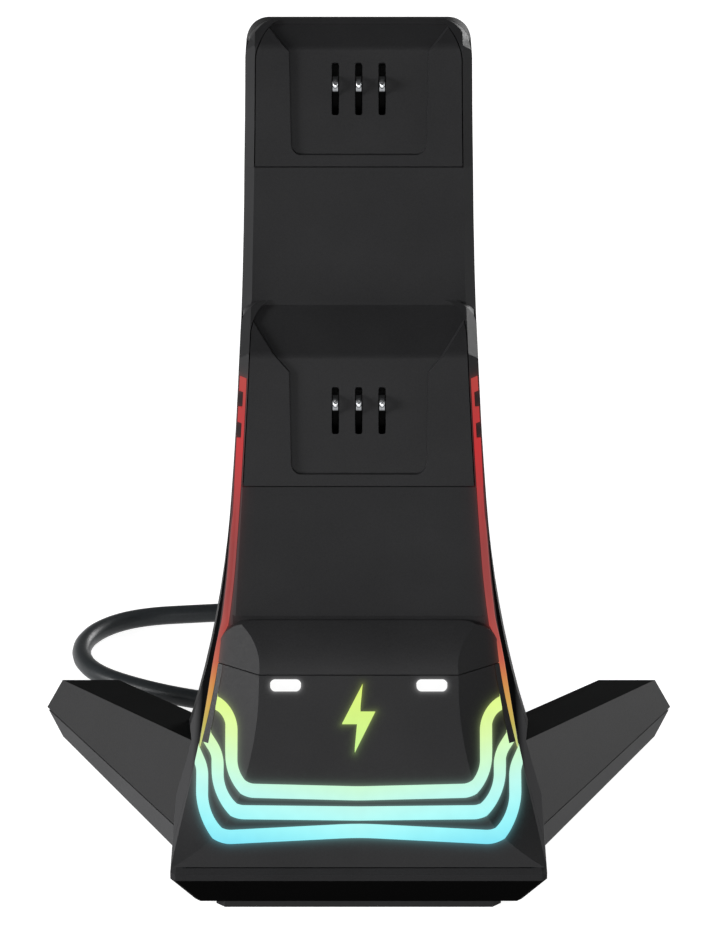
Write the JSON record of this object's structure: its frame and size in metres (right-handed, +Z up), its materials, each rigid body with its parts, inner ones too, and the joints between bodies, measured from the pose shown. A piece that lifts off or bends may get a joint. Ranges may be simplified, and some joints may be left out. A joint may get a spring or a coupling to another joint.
{
  "type": "controller charging dock",
  "caption": "Stepped tower that holds and charges game controllers on sprung contacts, with nested light bands in a faceted base, rear legs and a power cable.",
  "frame": {"origin": "on the floor, under the middle of the dock without its cable", "axes": "+Z up, the cradles and the light bands face -Y, the cable leaves the back towards +Y"},
  "size_m": [0.1932, 0.2177, 0.2363],
  "materials": {
    "bottom_plastic": "moulded plastic, near black",
    "cable_jacket": "satin vinyl",
    "circuit_board": "green circuit board",
    "contact_metal": "nickel-plated spring bronze",
    "corner_light_guide": "lit milky acrylic, orange to yellow",
    "edge_light_guide": "lit milky acrylic, red",
    "front_light_guide": "lit milky acrylic, lime at the ends to cyan in the middle",
    "holder_plastic": "moulded plastic",
    "leg_plastic": "fine-textured moulded plastic, charcoal black",
    "light_chip": "light-emitting chips",
    "plug_metal": "plated steel",
    "plug_plastic": "moulded vinyl",
    "rubber": "matt rubber",
    "screw_steel": "zinc-plated steel",
    "shell_plastic": "fine-textured moulded plastic, charcoal black",
    "status_light": "lit milky acrylic, white",
    "symbol_window": "lit milky acrylic, lime",
    "tie_fabric": "woven hook and loop tape",
    "wire_jacket": "coloured vinyl"
  },
  "bodies": {
    "dock": {"base_cap": "shell_plastic", "base_screws": "screw_steel", "board_lights": "light_chip", "board_screws": "screw_steel", "bottom_shell": "bottom_plastic", "cable_coil": "cable_jacket", "cable_end": "cable_jacket", "cable_tie": "tie_fabric", "charge_symbol": "symbol_window", "front_light_guide": "front_light_guide", "front_mask": "shell_plastic", "front_shell": "shell_plastic", "left_corner_light": "corner_light_guide", "left_edge_light": "edge_light_guide", "left_leg_cover": "leg_plastic", "left_leg_sole": "leg_plastic", "left_status_light": "status_light", "leg_pads": "rubber", "light_board": "circuit_board", "light_board_wires": "wire_jacket", "lower_contact_board": "circuit_board", "lower_contact_holder": "holder_plastic", "lower_contact_wires": "wire_jacket", "lower_cradle": "shell_plastic", "main_board": "circuit_board", "plug_body": "plug_plastic", "plug_shell": "plug_metal", "power_cable": "cable_jacket", "power_wires": "wire_jacket", "rear_screws": "screw_steel", "rear_shell": "shell_plastic", "right_corner_light": "corner_light_guide", "right_edge_light": "edge_light_guide", "right_leg_cover": "leg_plastic", "right_leg_sole": "leg_plastic", "right_status_light": "status_light", "rubber_foot": "rubber", "strain_relief": "cable_jacket", "upper_contact_board": "circuit_board", "upper_contact_holder": "holder_plastic", "upper_contact_wires": "wire_jacket", "upper_cradle": "shell_plastic"},
    "lower_left_contact": {"lower_left_contact": "contact_metal"},
    "lower_middle_contact": {"lower_middle_contact": "contact_metal"},
    "lower_right_contact": {"lower_right_contact": "contact_metal"},
    "upper_left_contact": {"upper_left_contact": "contact_metal"},
    "upper_middle_contact": {"upper_middle_contact": "contact_metal"},
    "upper_right_contact": {"upper_right_contact": "contact_metal"}
  },
  "joints": [
    {"name": "lower_left_press", "type": "hinge", "parent": "dock", "child": "lower_left_contact", "pos_m": [-0.0067, -0.01401, 0.12652], "axis": [-1, 0, 0], "range_deg": [0, 9], "stiffness_Nm_per_rad": 0.05},
    {"name": "lower_middle_press", "type": "hinge", "parent": "dock", "child": "lower_middle_contact", "pos_m": [0, -0.01401, 0.12652], "axis": [-1, 0, 0], "range_deg": [0, 9], "stiffness_Nm_per_rad": 0.05},
    {"name": "lower_right_press", "type": "hinge", "parent": "dock", "child": "lower_right_contact", "pos_m": [0.0067, -0.01401, 0.12652], "axis": [-1, 0, 0], "range_deg": [0, 9], "stiffness_Nm_per_rad": 0.05},
    {"name": "upper_left_press", "type": "hinge", "parent": "dock", "child": "upper_left_contact", "pos_m": [-0.0067, 0.01921, 0.21152], "axis": [-1, 0, 0], "range_deg": [0, 9], "stiffness_Nm_per_rad": 0.05},
    {"name": "upper_middle_press", "type": "hinge", "parent": "dock", "child": "upper_middle_contact", "pos_m": [0, 0.01921, 0.21152], "axis": [-1, 0, 0], "range_deg": [0, 9], "stiffness_Nm_per_rad": 0.05},
    {"name": "upper_right_press", "type": "hinge", "parent": "dock", "child": "upper_right_contact", "pos_m": [0.0067, 0.01921, 0.21152], "axis": [-1, 0, 0], "range_deg": [0, 9], "stiffness_Nm_per_rad": 0.05}
  ]
}
